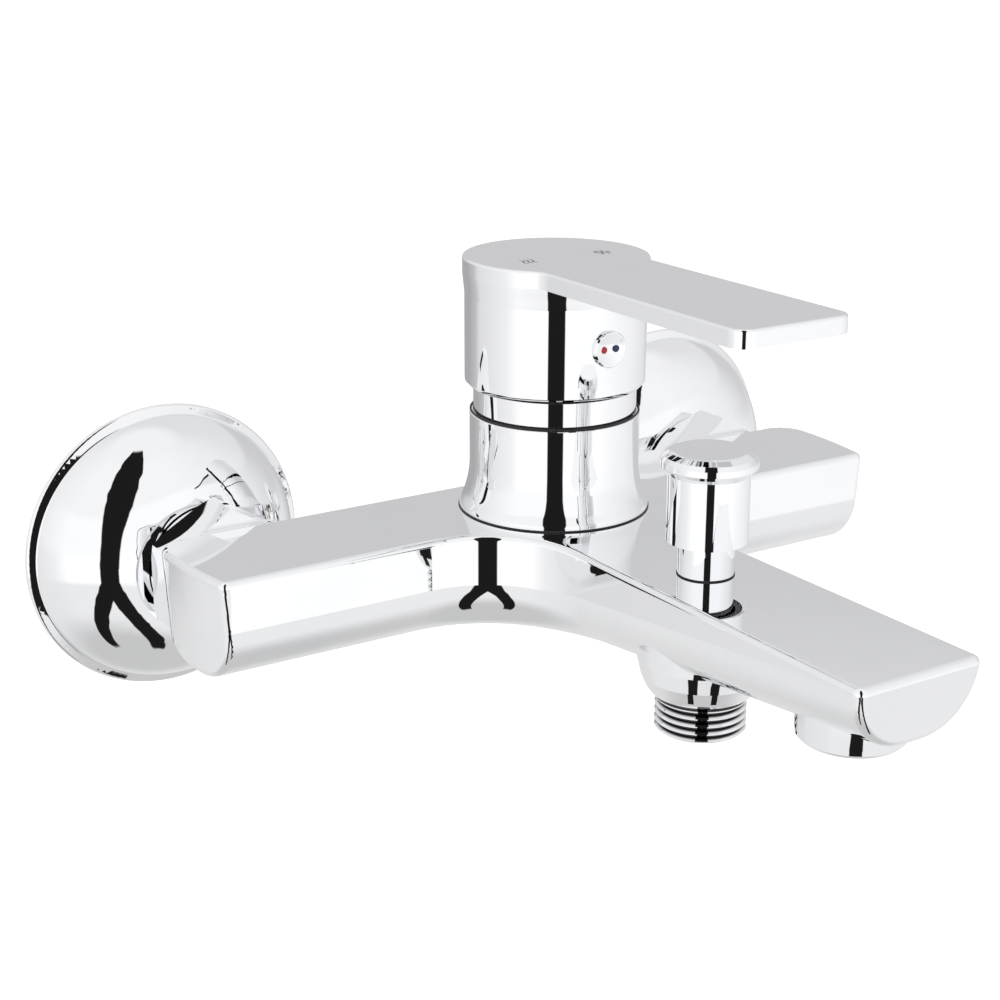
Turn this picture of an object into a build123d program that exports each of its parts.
from build123d import *
import math
import os

os.makedirs("parts", exist_ok=True)

# ---------------------------------------------------------------- overall sizes
# millimetres, origin on the finished wall midway between the two supplies,
# X along the wall, Y into the wall, Z up; the mixer hangs out towards -Y
INLET = 75.0            # half of the 150 mm distance between the union nuts
SUPPLY = 77.9           # half distance between the supplies in the wall
TOP = 14.2              # flat top of bar and spout
BOTTOM = -12.2          # underside of the bar
BAR_BACK = -36.7
BAR_FRONT = -70.5
BAR_HALF = 96.5         # half length at the top edge
BAR_HALF_FRONT = 94.2   # half length at the front corner
END_LEAN = 0.065        # the ends lean in by this much per unit of depth
CORNER = 8.0            # rounding of the back corners seen from above
SPOUT_HALF = 16.7       # half width of the spout
SPOUT_TIP = -189.0
TIP_DEPTH = 15.2        # height of the tip
FORK = 24.0             # radius between bar and spout
HULL = 14.3             # rounding of the underside
CORNER_ROUND = 2.2      # upright corners at the bar's ends and at the tip
TOP_ROUND = 1.4         # rim of the flat top
MIX_Y = -61.0           # axis of the cartridge, sleeve and lever
DIV_Y = -121.0          # axis of the diverter and the shower outlet
AIR_Y = -170.0          # axis of the aerator

# named clearances
RUN = 0.03              # running fit on the radius
SEAT = 0.05             # gap between pieces screwed or pressed face to face
FREE = 0.3              # air between moving pieces that never touch
THREAD = 0.1            # screwed joints drawn plain

# ---------------------------------------------------------------- wall side
ROSE_R = 36.6
ROSE_DEPTH = 20.0
ROSE_HOLE = 15.9
ROSE_WALL = 1.2
ROSE_CURVE = 25.0       # profile radius of the rosette's dome
UNION_R = 15.6          # round body of the wall union
WALL_THREAD = 10.48     # G1/2 into the wall
WALL_REACH = 22.0       # how far the union goes into the wall
FAUCET_THREAD = 13.2    # G3/4 towards the mixer
NUT_AF = 32.0
NUT_BACK = -23.5
NUT_FRONT = -35.8
NUT_COLLAR = 15.4
TAIL_NECK = 10.4
TAIL_FLANGE = 12.6
TAIL_FACE = -28.4       # sealing face of the inlet tail
WASHER = 2.0
WATER = 7.5             # bore of the supply way

# ---------------------------------------------------------------- cartridge
FLOOR = 8.0             # floor of the cartridge chamber
CHAMBER_R = 17.6
TOWER_R = 19.5
TOWER_TOP = 36.5
PIVOT_Z = 30.0          # lever axis
CART_R = 17.45
CART_BORE = 14.6
PORT_R = 3.2
PORT_X = 7.5
PORT_Y = 4.0
OUT_PORT_R = 4.0
OUT_PORT_Y = -8.0
BASE_TOP = 12.0
DISC_T = 3.0
FIXED_R = 13.5
MOVING_R = 10.4
CARRIER_TOP = 23.0
CARRIER_HALF = 7.7
BALL_Z = 22.0
BALL_R = 2.6
GUIDE_LOW = 24.0
GUIDE_FLANGE = 27.0
GUIDE_TOP = 35.5
GUIDE_NECK = 12.0
SPINDLE = 8.0           # square of the spindle
SPINDLE_TOP = 66.0
PIN_R = 1.5
SLEEVE_R = 20.7
SLEEVE_FOOT = 23.3
SLEEVE_TOP = 38.4
SLEEVE_BORE = 19.9
RING_R = 19.8
RING_SHOULDER = 45.6
DOME_R = 25.3
DOME_MOUTH = 14.5

# ---------------------------------------------------------------- lever
SKIRT_R = 21.9
SKIRT_LOW = 44.4
SKIRT_BORE = 20.6
CAP_R = 22.4
LEVER_TOP = 76.2
PLATE_T = 4.0
PLATE_HALF = 15.2
PLATE_HALF_TIP = 15.4
LEVER_TIP = -147.9
CEILING = 67.0
HUB_LOW = 55.0
SCREW_Z = 57.5
SCREW_R = 2.0
PLUG_R = 4.4
PLUG_FACE = -83.9
DISH = 0.7              # hollow in the plug's face

# ---------------------------------------------------------------- diverter
LIFT = 6.4              # stroke of the diverter knob
SEAT_LOW = -8.0         # top of the shower nipple
SEAT_HIGH = 3.0         # underside of the spout seat
VALVE_ROOM = 8.6
VALVE_R = 7.0
RING_T = 2.0
ROOM_TOP = 10.0
STEM_R = 2.0
BONNET_R = 6.4
BONNET_BORE = 5.0
BONNET_TOP = 31.0
KNOB_LOW = 22.2
KNOB_R = 9.2
KNOB_BORE = 8.5
KNOB_FLANGE = 10.9
KNOB_TOP = 42.8
SHOWER_THREAD = 10.45   # G1/2 outside thread of the shower outlet
SHOWER_END = -22.7
BOSS_END = -14.2

# ---------------------------------------------------------------- aerator
AIR_R = 11.6
AIR_BORE = 10.6
AIR_BOSS_END = -4.4
AIR_END = -6.4
AIR_ROOF = 8.0


def rod(radius, start, end, x=0.0, y=0.0):
    """Upright cylinder between two heights."""
    return Pos(x, y, (start + end) / 2) * Cylinder(radius, abs(end - start))


def rod_y(radius, start, end, x=0.0, z=0.0):
    """Cylinder along Y between two Y positions."""
    return Pos(x, (start + end) / 2, z) * Rot(90, 0, 0) * Cylinder(radius, abs(end - start))


def rod_x(radius, start, end, y=0.0, z=0.0):
    """Cylinder along X between two X positions."""
    return Pos((start + end) / 2, y, z) * Rot(0, 90, 0) * Cylinder(radius, abs(end - start))


def block(x0, x1, y0, y1, z0, z1):
    size = Box(abs(x1 - x0), abs(y1 - y0), abs(z1 - z0))
    return Pos((x0 + x1) / 2, (y0 + y1) / 2, (z0 + z1) / 2) * size


def ring(outer, inner, start, end, x=0.0, y=0.0):
    return rod(outer, start, end, x, y) - rod(inner, start - 1, end + 1, x, y)


def ring_y(outer, inner, start, end, x=0.0, z=0.0):
    low, high = min(start, end), max(start, end)
    return rod_y(outer, low, high, x, z) - rod_y(inner, low - 1, high + 1, x, z)


def turned(points, x=0.0, y=0.0):
    """Solid turned about the upright axis at x, y from (radius, height) points."""
    face = make_face(Plane.XZ * Polyline(*points, close=True))
    return Pos(x, y, 0) * revolve(face, Axis.Z, 360)


def turned_y(points, x=0.0, z=0.0):
    """Solid turned about a Y axis from (radius, y) points."""
    face = make_face(Polyline(*points, close=True))
    return Pos(x, 0, z) * revolve(face, Axis.Y, 360)


def save(name, shape):
    solids = list(shape.solids())
    out = solids[0] if len(solids) == 1 else Compound(children=solids)
    export_step(out, os.path.join("parts", name + ".step"))
    print(name, len(solids), round(sum(s.volume for s in solids), 2))


# ================================================================ mixer body
def plan_outline():
    """Bar and spout seen from above, with the fork rounded."""
    far = BAR_HALF + 20
    outline = Polyline(
        (-far, BAR_BACK),
        (far, BAR_BACK),
        (far, BAR_FRONT),
        (SPOUT_HALF, BAR_FRONT),
        (SPOUT_HALF, SPOUT_TIP - 5),
        (-SPOUT_HALF, SPOUT_TIP - 5),
        (-SPOUT_HALF, BAR_FRONT),
        (-far, BAR_FRONT),
        close=True,
    )
    face = make_face(outline)
    inner = face.vertices().filter_by(lambda v: abs(v.Y - BAR_FRONT) < 0.1 and abs(v.X) < BAR_HALF)
    return fillet(inner, FORK)


def side_profile():
    """Bar and spout seen from the end: level top, underside rising evenly to the tip."""
    lean = END_LEAN * TIP_DEPTH
    low = TOP - TIP_DEPTH
    knee = BAR_FRONT - 12
    outline = Polyline(
        (SPOUT_TIP, TOP),
        (BAR_BACK, TOP),
        (BAR_BACK, BOTTOM),
        (knee, BOTTOM),
        (SPOUT_TIP + lean, low),
        close=True,
    )
    face = make_face(outline)
    bend = face.vertices().filter_by(lambda v: abs(v.X - knee) < 0.1 and v.Y < 0)
    return Plane.YZ * fillet(bend, 200)


def end_trim(side):
    """Region kept by one slanted, slightly bowed end with its back corner rounded."""
    far = 300
    back = Line((-far * side, BAR_BACK), (side * (BAR_HALF - CORNER), BAR_BACK))
    turn = RadiusArc(back @ 1, (side * BAR_HALF, BAR_BACK - CORNER), side * CORNER)
    bow = ThreePointArc(
        turn @ 1,
        (side * (BAR_HALF - 0.3), (BAR_BACK - CORNER + BAR_FRONT) / 2 + 2),
        (side * BAR_HALF_FRONT, BAR_FRONT),
    )
    rest = Polyline(bow @ 1, (side * BAR_HALF_FRONT, -far), (-far * side, -far), (-far * side, BAR_BACK))
    face = make_face(back + turn + bow + rest)
    depth = TOP - BOTTOM + 2
    return Pos(0, 0, TOP) * extrude(face, amount=depth, dir=(-side * END_LEAN, 0, -1))


def body_hull():
    blank = Pos(0, 0, BOTTOM - 1) * extrude(plan_outline(), TOP - BOTTOM + 1)
    blank = blank & extrude(side_profile(), 200, both=True)

    def lower_rim(edge):
        box = edge.bounding_box()
        centre = edge @ 0.5
        below = box.max.Z < TOP - 1 and centre.Z < TOP - TIP_DEPTH + 1
        across = 3 < abs(centre.X) < BAR_HALF + 15
        upright = abs((edge % 0.5).Z) > 0.8
        back = box.min.Y > BAR_BACK - 0.1
        return below and not upright and (across or back)

    def front_corner(edge):
        middle = edge @ 0.5
        upright = abs((edge % 0.5).Z) > 0.5
        at_end = abs(middle.X) > BAR_HALF_FRONT - 6 and middle.Y < BAR_FRONT + 3
        return upright and (at_end or middle.Y < SPOUT_TIP + 4)

    rim = blank.edges().filter_by(lower_rim)
    hull = fillet(rim, HULL)
    hull = hull & end_trim(1) & end_trim(-1)
    hull = fillet(hull.edges().filter_by(front_corner), CORNER_ROUND)
    return fillet(hull.edges().filter_by(lambda e: e.bounding_box().min.Z > TOP - 0.01), TOP_ROUND)


def shower_boss():
    return turned(
        [(0, TOP - 6), (15.2, TOP - 6), (15.2, -2), (14.8, -5.6), (13.9, -9.5), (12.7, -12.3), (11.6, -13.7),
         (10.8, BOSS_END), (0, BOSS_END)],
        y=DIV_Y,
    )


def aerator_boss():
    return rod(AIR_R + 0.2, AIR_BOSS_END, TOP - 5, y=AIR_Y)


def water_ways():
    """Everything hollow inside the casting."""
    way_z = -4.0
    port_y = MIX_Y + PORT_Y
    ways = rod(CHAMBER_R, FLOOR, TOWER_TOP + 1, y=MIX_Y)
    for side in (-1, 1):
        ways += rod_y(TAIL_NECK - 0.4, BAR_BACK + 1, -48, x=side * INLET)
        ways += rod_y(WATER, -47, port_y - 5, x=side * INLET)
        ways += rod_x(4.5, side * INLET, side * (PORT_X - 4), y=port_y, z=way_z)
        ways += rod(PORT_R, way_z, FLOOR + 1, side * PORT_X, port_y)
    out_y = MIX_Y + OUT_PORT_Y
    ways += rod(OUT_PORT_R, -2.5, FLOOR + 1, 0, out_y)
    ways += rod_y(4.5, out_y + 5, DIV_Y, z=-2.5)
    ways += rod(VALVE_ROOM, BOSS_END - 1, ROOM_TOP, y=DIV_Y)
    ways += rod(BONNET_R - 0.5, ROOM_TOP - 1, TOP + 1, y=DIV_Y)
    ways += block(-6.5, 6.5, AIR_Y, DIV_Y, SEAT_HIGH + RING_T + 0.3, ROOM_TOP - 0.3)
    ways += rod(AIR_BORE, AIR_BOSS_END - 1, AIR_ROOF, y=AIR_Y)
    ways += rod(7.0, AIR_ROOF - 1, ROOM_TOP - 0.3, y=AIR_Y)
    return ways


def mixer_body():
    body = body_hull()
    body += shower_boss()
    body += aerator_boss()
    body += rod(TOWER_R, FLOOR, TOWER_TOP, y=MIX_Y)
    return body - water_ways()


# ================================================================ wall side
def s_union(side):
    """Union with its wall thread a little outside its mixer thread."""
    x_wall = side * SUPPLY
    x_mix = side * INLET
    union = rod_y(WALL_THREAD, WALL_REACH, -4, x=x_wall)
    union += rod_y(UNION_R, -3.5, -ROSE_DEPTH - 0.6, x=x_wall)
    end = TAIL_FACE + WASHER + SEAT
    union += rod_y(FAUCET_THREAD, -ROSE_DEPTH - 0.3, end, x=x_mix)
    union -= rod_y(WATER, WALL_REACH + 1, -6, x=x_wall)
    union -= rod_y(WATER, -5, end - 1, x=x_mix)
    return union


def rosette(side):
    """Thin cover plate: rolled rim, then a cushion-shaped dome up to the union."""
    slope = math.asin(0.22)
    hub = ROSE_HOLE - ROSE_CURVE * math.sin(slope)
    centre = ROSE_DEPTH - ROSE_CURVE * math.cos(slope)
    shoulder = ROSE_R - 2.4

    def dome(radius, curve):
        return (radius, -centre - math.sqrt(curve ** 2 - (radius - hub) ** 2))

    middle = (shoulder + ROSE_HOLE) / 2
    inside = ROSE_CURVE - ROSE_WALL
    low = shoulder - ROSE_WALL
    start = dome(shoulder, ROSE_CURVE)
    rim = (ROSE_R, -0.8)
    foot = (ROSE_R - 0.7, 0)
    edge = Line(foot, rim)
    along = (-centre - start[1], hub - shoulder)
    roll = Spline(rim, (ROSE_R - 0.6, -1.9), start, tangents=((0, -1), along))
    face_arc = ThreePointArc(start, dome(middle, ROSE_CURVE), dome(ROSE_HOLE, ROSE_CURVE))
    lip = Line(dome(ROSE_HOLE, ROSE_CURVE), dome(ROSE_HOLE, inside))
    back_arc = ThreePointArc(dome(ROSE_HOLE, inside), dome(middle, inside), dome(low, inside))
    hollow = Polyline(dome(low, inside), (ROSE_R - ROSE_WALL, 0), foot)
    section = make_face(edge + roll + face_arc + lip + back_arc + hollow)
    return Pos(side * SUPPLY, 0, 0) * revolve(section, Axis.Y, 360)


def union_nut(side):
    x = side * INLET
    prism = extrude(RegularPolygon(NUT_AF / 2, 6, major_radius=False), NUT_BACK - NUT_FRONT)
    prism = Pos(x, NUT_BACK, 0) * Rot(90, 0, 0) * Rot(0, 0, 30) * prism
    corner = NUT_AF / math.sqrt(3)
    cut = 1.1
    round_off = turned_y(
        [(0, NUT_BACK), (corner - 1.5, NUT_BACK), (corner, NUT_BACK - cut), (corner, NUT_FRONT + cut),
         (corner - 1.5, NUT_FRONT), (0, NUT_FRONT)],
        x=x,
    )
    nut = prism & round_off
    nut += rod_y(NUT_COLLAR, -ROSE_DEPTH - 1.2, NUT_BACK - 1, x=x)
    nut -= rod_y(FAUCET_THREAD + THREAD, -ROSE_DEPTH, TAIL_FACE - 2.6, x=x)
    nut -= rod_y(TAIL_NECK + 0.2, TAIL_FACE, NUT_FRONT - 1, x=x)
    return nut


def inlet_tail(side):
    x = side * INLET
    tail = rod_y(TAIL_FLANGE, TAIL_FACE, TAIL_FACE - 2.4, x=x)
    tail += rod_y(TAIL_NECK, TAIL_FACE - 2, BAR_BACK + SEAT, x=x)
    tail += rod_y(TAIL_NECK - 0.4 - THREAD, BAR_BACK + 1, -47.9, x=x)
    return tail - rod_y(WATER, TAIL_FACE + 1, -49, x=x)


def union_washer(side):
    return ring_y(12.4, 8.2, TAIL_FACE + WASHER + SEAT / 2, TAIL_FACE + SEAT / 2, x=side * INLET)


def strainer(side):
    """Perforated cup hanging in the inlet washer."""
    x = side * INLET
    face = TAIL_FACE + WASHER / 2
    cup = ring_y(8.15, 7.0, face + 0.5, face - 0.5, x=x)
    cup += ring_y(7.2, 6.6, face + 0.5, face - 8, x=x)
    cup += rod_y(7.2, face - 7.4, face - 8, x=x)
    holes = [Pos(x, face - 8, 0) * Rot(90, 0, 0) * loc * Cylinder(0.7, 6) for loc in HexLocations(1.15, 6, 6)
             if loc.position.length < 5.8]
    return cup - holes


# ================================================================ cartridge
def ports(grow=0.0):
    """Axes and radii of the three openings in the cartridge floor."""
    y = MIX_Y + PORT_Y
    return [
        (-PORT_X, y, PORT_R + grow),
        (PORT_X, y, PORT_R + grow),
        (0.0, MIX_Y + OUT_PORT_Y, OUT_PORT_R + grow),
    ]


def cartridge_base():
    base = rod(CART_R - 0.1, FLOOR + FREE, BASE_TOP, y=MIX_Y)
    for x, y, r in ports():
        base -= rod(r, FLOOR, BASE_TOP + 1, x, y)
        base -= rod(r + 1.35, FLOOR, FLOOR + 1.4, x, y)
    return base


def base_seals():
    seals = [ring(r + 1.3, r + 0.1, FLOOR, FLOOR + 1.35, x, y) for x, y, r in ports()]
    return Compound(children=seals)


def disc_fixed():
    low = BASE_TOP + SEAT
    disc = rod(FIXED_R, low, low + DISC_T, y=MIX_Y)
    for x, y, r in ports():
        disc -= rod(r, low - 1, low + DISC_T + 1, x, y)
    return disc


def disc_moving():
    low = BASE_TOP + DISC_T + 2 * SEAT
    disc = rod(MOVING_R, low, low + DISC_T, y=MIX_Y)
    pocket = extrude(SlotCenterToCenter(7.0, 9.0), 1.8)
    return disc - Pos(0, MIX_Y - 1.0, low - 0.3) * Rot(0, 0, 90) * pocket


def disc_carrier():
    low = BASE_TOP + 2 * DISC_T + 3 * SEAT
    carrier = rod(MOVING_R, low, CARRIER_TOP, y=MIX_Y)
    carrier &= block(-CARRIER_HALF, CARRIER_HALF, MIX_Y - 12, MIX_Y + 12, low, CARRIER_TOP)
    return carrier - rod(BALL_R + FREE, low + 0.8, CARRIER_TOP + 1, y=MIX_Y)


def cartridge_guide():
    guide = rod(CART_BORE - FREE, GUIDE_LOW, GUIDE_FLANGE, y=MIX_Y)
    guide += rod(GUIDE_NECK, GUIDE_LOW, GUIDE_TOP, y=MIX_Y)
    for side in (-1, 1):
        near = side * (CARRIER_HALF + FREE)
        guide += block(near, side * 9.6, MIX_Y - 7, MIX_Y + 7, CARRIER_TOP - 3, GUIDE_LOW + 0.5)
    half = SPINDLE / 2
    guide -= block(-half - FREE, half + FREE, MIX_Y - 8, MIX_Y + 8, GUIDE_LOW - 5, GUIDE_TOP + 1)
    return guide - rod_x(PIN_R, -GUIDE_NECK - 1, GUIDE_NECK + 1, y=MIX_Y, z=PIVOT_Z)


def spindle_pin():
    length = GUIDE_NECK - 1.5
    return rod_x(PIN_R - 0.01, -length, length, y=MIX_Y, z=PIVOT_Z)


def cartridge_housing():
    shoulder = 32.0
    body = rod(CART_R, BASE_TOP + SEAT, shoulder, y=MIX_Y)
    body += rod(15.5, shoulder - 1, 36.8, y=MIX_Y)
    body -= rod(CART_BORE, BASE_TOP - 1, GUIDE_FLANGE + FREE, y=MIX_Y)
    return body - rod(GUIDE_NECK + FREE, GUIDE_FLANGE, 38, y=MIX_Y)


def cartridge_nut():
    low = 32.0 + SEAT
    nut = ring(CHAMBER_R - SEAT, 15.6, low, 38.0, y=MIX_Y)
    for turn in range(6):
        nut -= Pos(0, MIX_Y, 37.4) * Rot(0, 0, 60 * turn) * Pos(17, 0, 0) * Box(5, 2.6, 2.4)
    return nut


def cartridge_spindle():
    half = SPINDLE / 2
    spindle = block(-half, half, MIX_Y - half, MIX_Y + half, 25.2, SPINDLE_TOP)
    spindle = chamfer(spindle.edges().filter_by(Axis.Z), 0.8)
    spindle += rod(BALL_R - 0.4, BALL_Z, 25.5, y=MIX_Y)
    spindle += Pos(0, MIX_Y, BALL_Z) * Sphere(BALL_R)
    spindle -= rod_x(PIN_R + RUN, -half - 1, half + 1, y=MIX_Y, z=PIVOT_Z)
    return spindle


def cover_sleeve():
    """Thin tube over the cartridge tower, flared at the foot."""
    foot = TOP + SEAT
    outer = [(SLEEVE_FOOT, foot), (SLEEVE_FOOT, foot + 0.8), (22.4, foot + 2.8), (21.6, foot + 5.2), (21.0, foot + 8.0),
             (SLEEVE_R, foot + 11.5)]
    curve = Spline(*outer[1:], tangents=((-0.25, 1), (0, 1)))
    inner = SLEEVE_BORE
    edge = 0.5
    up = Polyline(curve @ 1, (SLEEVE_R, SLEEVE_TOP - edge), (SLEEVE_R - edge, SLEEVE_TOP), (inner, SLEEVE_TOP),
                  (inner, foot), outer[0], outer[1])
    face = make_face(Plane.XZ * (curve + up))
    return Pos(0, MIX_Y, 0) * revolve(face, Axis.Z, 360)


def dome_ring():
    """Ring between sleeve and lever: straight neck, then a ball zone the lever glides round."""
    low = SLEEVE_TOP + SEAT
    wall = 1.5
    rise_out = math.sqrt(DOME_R ** 2 - DOME_MOUTH ** 2)
    shoulder = PIVOT_Z + math.sqrt(DOME_R ** 2 - RING_R ** 2)
    straight = turned([(17.9, TOWER_TOP + SEAT), (19.3, TOWER_TOP + SEAT), (19.3, low), (RING_R, low),
                       (RING_R, shoulder), (17.9, shoulder)], y=MIX_Y)
    ball = Pos(0, MIX_Y, PIVOT_Z) * (Sphere(DOME_R) - Sphere(DOME_R - wall))
    ball &= rod(30, shoulder - 1.2, PIVOT_Z + 40, y=MIX_Y)
    ball &= rod(RING_R, shoulder - 2, PIVOT_Z + 40, y=MIX_Y)
    ball -= rod(DOME_MOUTH, PIVOT_Z + rise_out - 8, PIVOT_Z + 40, y=MIX_Y)
    return straight + ball


# ================================================================ lever
def lever_plan():
    """Round cap running into the long flat plate."""
    half_at_cap = PLATE_HALF
    plate = make_face(Polyline(
        (-half_at_cap, MIX_Y), (half_at_cap, MIX_Y), (PLATE_HALF_TIP, LEVER_TIP), (-PLATE_HALF_TIP, LEVER_TIP),
        close=True,
    ))
    tips = plate.vertices().filter_by(lambda v: v.Y < LEVER_TIP + 1)
    plate = fillet(tips, 4.0)
    plan = plate + Pos(0, MIX_Y) * Circle(CAP_R)
    waist = plan.vertices().filter_by(lambda v: v.Y < MIX_Y - 10 and v.Y > MIX_Y - 25)
    return fillet(waist, 6.0)


def lever_handle():
    plate = Pos(0, 0, LEVER_TOP - PLATE_T) * extrude(lever_plan(), PLATE_T)
    plate = fillet(plate.faces().sort_by(Axis.Z)[-1].edges(), 0.6)
    skirt = turned([(0, SKIRT_LOW), (SKIRT_R - 1.7, SKIRT_LOW), (SKIRT_R, SKIRT_LOW + 1.7), (SKIRT_R, LEVER_TOP - 9),
                    (CAP_R, LEVER_TOP - PLATE_T), (CAP_R, LEVER_TOP - 1.5), (0, LEVER_TOP - 1.5)], y=MIX_Y)
    handle = plate + skirt
    handle -= rod(SKIRT_BORE, SKIRT_LOW - 1, CEILING, y=MIX_Y)
    hub_back = MIX_Y + 5.8
    hub = block(-6.6, 6.6, MIX_Y - SKIRT_BORE - 0.6, hub_back, HUB_LOW, CEILING + 1)
    hub = hub & rod(SKIRT_BORE + 0.4, HUB_LOW, CEILING + 1, y=MIX_Y)
    handle += hub
    half = SPINDLE / 2 + SEAT
    handle -= block(-half, half, MIX_Y - half, MIX_Y + half, HUB_LOW - 1, SPINDLE_TOP + 0.2)
    handle -= rod_y(SCREW_R + SEAT, MIX_Y - half + 1, PLUG_FACE + 4, z=SCREW_Z)
    handle -= rod_y(PLUG_R - 1.1 + SEAT, PLUG_FACE + 4.2, PLUG_FACE - 3, z=SCREW_Z)
    tilt = Pos(0, MIX_Y + 5, SKIRT_LOW) * Rot(20, 0, 0) * Pos(0, 20, -10) * Box(80, 40, 20)
    return handle - tilt


def handle_screw():
    back = MIX_Y - SPINDLE / 2 - SEAT
    front = PLUG_FACE + 4.4
    screw = rod_y(SCREW_R, back, front, z=SCREW_Z)
    socket = extrude(RegularPolygon(1.0, 6, major_radius=False), 3)
    return screw - Pos(0, front + 2, SCREW_Z) * Rot(90, 0, 0) * socket


def indicator_plug():
    head = rod_y(PLUG_R, PLUG_FACE + 2.4, PLUG_FACE, z=SCREW_Z)
    outside = Pos(0, MIX_Y, SCREW_Z) * Cylinder(SKIRT_R + 0.02, 12)
    head = chamfer(head.edges().filter_by(lambda e: (e @ 0).Y < PLUG_FACE + 0.1), 0.35) - outside
    stem = rod_y(PLUG_R - 1.1, PLUG_FACE + 4.1, PLUG_FACE + 1, z=SCREW_Z)
    plug = head + stem
    ball = ((PLUG_R - 0.5) ** 2 + DISH ** 2) / (2 * DISH)
    plug -= Pos(0, PLUG_FACE + DISH - ball, SCREW_Z) * Sphere(ball)
    for x in (-1.7, 1.7):
        plug -= rod_y(0.85, PLUG_FACE + 1.25, PLUG_FACE - 1, x=x, z=SCREW_Z)
    return plug


def indicator_dot(x):
    return rod_y(0.82, PLUG_FACE + 1.22, PLUG_FACE + 0.42, x=x, z=SCREW_Z)


# ================================================================ diverter
def diverter_bonnet():
    bonnet = rod(BONNET_R, TOP + SEAT, BONNET_TOP, y=DIV_Y)
    bonnet += rod(BONNET_R - 0.5 - THREAD, ROOM_TOP, TOP + 1, y=DIV_Y)
    bonnet -= rod(BONNET_BORE, TOP + 1.8, BONNET_TOP + 1, y=DIV_Y)
    bonnet -= rod(STEM_R + RUN, ROOM_TOP - 1, TOP + 3, y=DIV_Y)
    return bonnet - rod(3.6, 11.4, 12.9, y=DIV_Y)


def stem_seal():
    return ring(3.58, STEM_R + RUN, 11.45, 12.85, y=DIV_Y)


def bonnet_cap():
    low = BONNET_TOP - 3
    cap = rod(BONNET_BORE - SEAT, low, BONNET_TOP + SEAT, y=DIV_Y)
    cap += rod(BONNET_R, BONNET_TOP + SEAT, BONNET_TOP + 1.6, y=DIV_Y)
    return cap - rod(STEM_R + RUN, low - 1, BONNET_TOP + 3, y=DIV_Y)


def seat_ring():
    low = SEAT_HIGH
    return ring(VALVE_ROOM - SEAT, 5.2, low, low + RING_T, y=DIV_Y)


def diverter_stem():
    """Stem with its spring collar and the valve plate riveted low down."""
    low = SEAT_LOW + SEAT
    stem = rod(STEM_R, low, KNOB_TOP - 4, y=DIV_Y)
    stem += rod(4.6, TOP + 1.8 + SEAT, TOP + 3.4, y=DIV_Y)
    return stem


def valve_plate():
    low = SEAT_LOW + SEAT + 1.2
    high = SEAT_LOW + (SEAT_HIGH - SEAT_LOW - LIFT) - SEAT - 1.2
    return ring(VALVE_R, STEM_R, low, high, y=DIV_Y)


def valve_seals():
    low = SEAT_LOW + SEAT
    high = SEAT_LOW + (SEAT_HIGH - SEAT_LOW - LIFT) - SEAT
    lower = ring(VALVE_R, STEM_R, low, low + 1.2, y=DIV_Y)
    upper = ring(VALVE_R, STEM_R, high - 1.2, high, y=DIV_Y)
    return Compound(children=[lower, upper])


def diverter_knob():
    knob = turned([(0, KNOB_LOW), (KNOB_R, KNOB_LOW), (KNOB_R, 37.6), (KNOB_R + 0.5, 38.4), (KNOB_FLANGE, 39.4),
                   (KNOB_FLANGE, 40.8), (KNOB_FLANGE - 0.7, 41.8), (8.9, 42.6), (8.2, KNOB_TOP), (0, KNOB_TOP)],
                  y=DIV_Y)
    knob -= rod(KNOB_BORE, KNOB_LOW - 1, 34.5, y=DIV_Y)
    knob += ring(3.6, STEM_R, 33.3, 35.5, y=DIV_Y)
    return knob - rod(STEM_R, KNOB_LOW - 1, KNOB_TOP - 3.9, y=DIV_Y)


def knob_core():
    """Black sleeve pressed into the plated knob."""
    return ring(KNOB_BORE - SEAT, BONNET_R + 2 * FREE, KNOB_LOW + FREE, 34.45, y=DIV_Y)


def diverter_spring():
    low = TOP + 3.4 + SEAT
    high = BONNET_TOP - 3 - SEAT
    wire = 0.4
    path = Pos(0, DIV_Y, low + wire) * Helix(pitch=(high - low - 2 * wire) / 4, height=high - low - 2 * wire, radius=3.9)
    start = Plane(origin=path @ 0, z_dir=path % 0)
    return sweep(start * Circle(wire), path=path, is_frenet=True)


def thread_profile(major, depth, pitch, start, end):
    """Zigzag outline of a ringed thread between two heights, top to bottom."""
    points = []
    z = start
    while z - pitch > end:
        points += [(major, z), (major, z - 0.15 * pitch), (major - depth, z - 0.5 * pitch),
                   (major - depth, z - 0.62 * pitch)]
        z -= pitch
    points += [(major, z), (major - (z - end), end)]
    return points


def shower_outlet():
    """Screwed-in nipple that is both the lower valve seat and the hose thread."""
    neck = VALVE_ROOM - SEAT
    points = [(0, SEAT_LOW), (neck, SEAT_LOW), (neck, BOSS_END - SEAT)]
    points += [(SHOWER_THREAD - 0.8, BOSS_END - SEAT), (SHOWER_THREAD - 0.8, BOSS_END - 0.8)]
    points += thread_profile(SHOWER_THREAD, 1.1, 1.814, BOSS_END - 0.8, SHOWER_END)
    points += [(0, SHOWER_END)]
    nipple = turned(points, y=DIV_Y)
    nipple -= rod(4.4, SEAT_LOW - 3, SEAT_LOW + 1, y=DIV_Y)
    nipple -= rod(6.0, SHOWER_END - 1, SEAT_LOW - 2, y=DIV_Y)
    return nipple - ring(neck + 1, neck - 1.1, BOSS_END + 1.4, BOSS_END + 2.8, y=DIV_Y)


def outlet_seal():
    neck = VALVE_ROOM - SEAT
    return ring(neck, neck - 1.05, BOSS_END + 1.45, BOSS_END + 2.75, y=DIV_Y)


CHECK_TOP = SEAT_LOW - 2 - SEAT
CHECK_LOW = CHECK_TOP - 10.5


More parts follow.
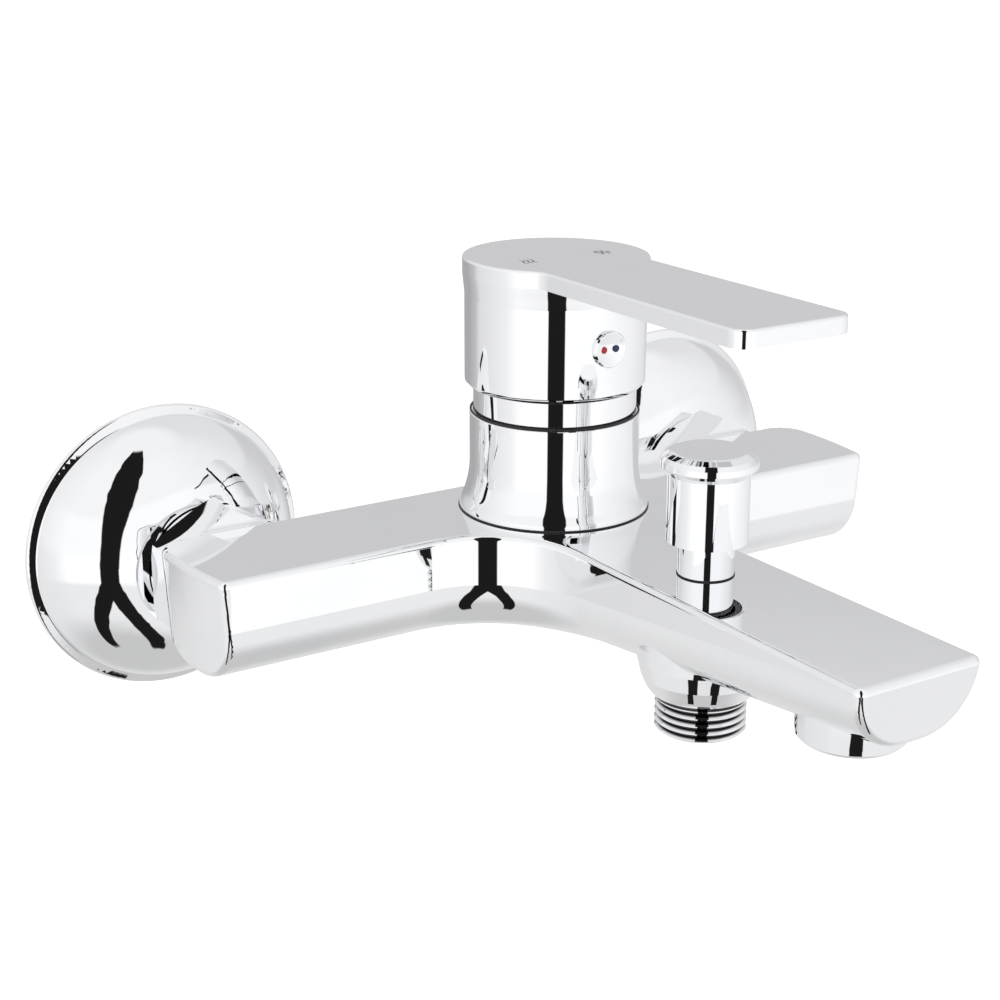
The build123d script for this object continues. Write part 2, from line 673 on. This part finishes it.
def check_valve_body():
    """Drop-in cage of the non-return valve, seat at the top."""
    cage = rod(6.0 - SEAT, CHECK_LOW, CHECK_TOP, y=DIV_Y)
    cage -= rod(4.6, CHECK_LOW + 1.2, CHECK_TOP - 1.4, y=DIV_Y)
    cage -= rod(3.0, CHECK_TOP - 2, CHECK_TOP + 1, y=DIV_Y)
    for turn in range(3):
        cage -= Pos(0, DIV_Y, CHECK_LOW) * Rot(0, 0, 120 * turn + 90) * Pos(3.1, 0, 0) * Cylinder(1.2, 4)
    return cage - rod(0.9 + RUN, CHECK_LOW - 1, CHECK_LOW + 3, y=DIV_Y)


def check_poppet():
    top = CHECK_TOP - 1.4 - SEAT
    poppet = turned([(0, CHECK_TOP - 0.2), (2.0, CHECK_TOP - 0.2), (2.7, top), (4.0, top), (4.0, top - 1.2),
                     (0.9, top - 1.6), (0.9, CHECK_LOW + 0.2), (0, CHECK_LOW + 0.2)], y=DIV_Y)
    return poppet


def check_spring():
    high = CHECK_TOP - 1.4 - SEAT - 1.65
    low = CHECK_LOW + 1.2 + SEAT
    wire = 0.22
    path = Pos(0, DIV_Y, low + wire) * Helix(pitch=(high - low - 2 * wire) / 4, height=high - low - 2 * wire, radius=1.6)
    start = Plane(origin=path @ 0, z_dir=path % 0)
    return sweep(start * Circle(wire), path=path, is_frenet=True)


# ================================================================ aerator
def aerator_housing():
    low = AIR_END
    shell = turned([(AIR_R - 0.8, low), (AIR_R, low + 0.8), (AIR_R, AIR_BOSS_END - SEAT),
                    (AIR_BORE - THREAD, AIR_BOSS_END - SEAT), (AIR_BORE - THREAD, 5.8), (0, 5.8), (0, low)], y=AIR_Y)
    shell -= rod(9.3, low + 1.0, 7, y=AIR_Y)
    return shell - rod(8.3, low - 1, low + 2, y=AIR_Y)


def aerator_insert():
    """Flow straightener: rim with crossing ribs and a perforated top plate."""
    insert = ring(9.25, 8.0, AIR_END + 1.9, 5.7, y=AIR_Y)
    for turn in range(6):
        rib = Pos(0, AIR_Y, 0) * Rot(0, 0, 30 * turn) * Box(16.6, 0.7, 7.2)
        insert += rib
    plate = rod(8.3, 3.9, 5.7, y=AIR_Y)
    holes = [Pos(0, AIR_Y, 4.5) * Rot(0, 0, 45 * k) * Pos(5.2, 0, 0) * Cylinder(1.0, 6) for k in range(8)]
    return insert + (plate - holes)


def aerator_screen():
    low = AIR_END + 1.0 + SEAT
    screen = rod(9.2, low, low + 0.8, y=AIR_Y)
    holes = [Pos(0, AIR_Y, low) * loc * Cylinder(0.62, 4) for loc in HexLocations(0.95, 11, 11)
             if loc.position.length < 7.5]
    return screen - holes


def aerator_washer():
    return ring(AIR_BORE - 0.1, 7.6, 5.8 + SEAT, AIR_ROOF - SEAT, y=AIR_Y)


SIDES = (("left", -1), ("right", 1))

if __name__ == "__main__":
    save("mixer_body", mixer_body())
    for word, side in SIDES:
        save("rosette_" + word, rosette(side))
        save("s_union_" + word, s_union(side))
        save("union_nut_" + word, union_nut(side))
        save("inlet_tail_" + word, inlet_tail(side))
        save("union_washer_" + word, union_washer(side))
        save("strainer_" + word, strainer(side))
    save("cartridge_base", cartridge_base())
    save("cartridge_base_seals", base_seals())
    save("ceramic_disc_fixed", disc_fixed())
    save("ceramic_disc_moving", disc_moving())
    save("disc_carrier", disc_carrier())
    save("cartridge_guide", cartridge_guide())
    save("spindle_pin", spindle_pin())
    save("cartridge_housing", cartridge_housing())
    save("cartridge_nut", cartridge_nut())
    save("cartridge_spindle", cartridge_spindle())
    save("cover_sleeve", cover_sleeve())
    save("dome_ring", dome_ring())
    save("lever_handle", lever_handle())
    save("handle_grub_screw", handle_screw())
    save("indicator_plug", indicator_plug())
    save("hot_dot", indicator_dot(-1.7))
    save("cold_dot", indicator_dot(1.7))
    save("diverter_bonnet", diverter_bonnet())
    save("diverter_stem_seal", stem_seal())
    save("diverter_bonnet_cap", bonnet_cap())
    save("diverter_seat_ring", seat_ring())
    save("diverter_stem", diverter_stem())
    save("diverter_valve_plate", valve_plate())
    save("diverter_valve_seals", valve_seals())
    save("diverter_knob", diverter_knob())
    save("diverter_knob_core", knob_core())
    save("diverter_spring", diverter_spring())
    save("shower_outlet", shower_outlet())
    save("shower_outlet_seal", outlet_seal())
    save("check_valve_body", check_valve_body())
    save("check_poppet", check_poppet())
    save("check_spring", check_spring())
    save("aerator_housing", aerator_housing())
    save("aerator_insert", aerator_insert())
    save("aerator_screen", aerator_screen())
    save("aerator_washer", aerator_washer())
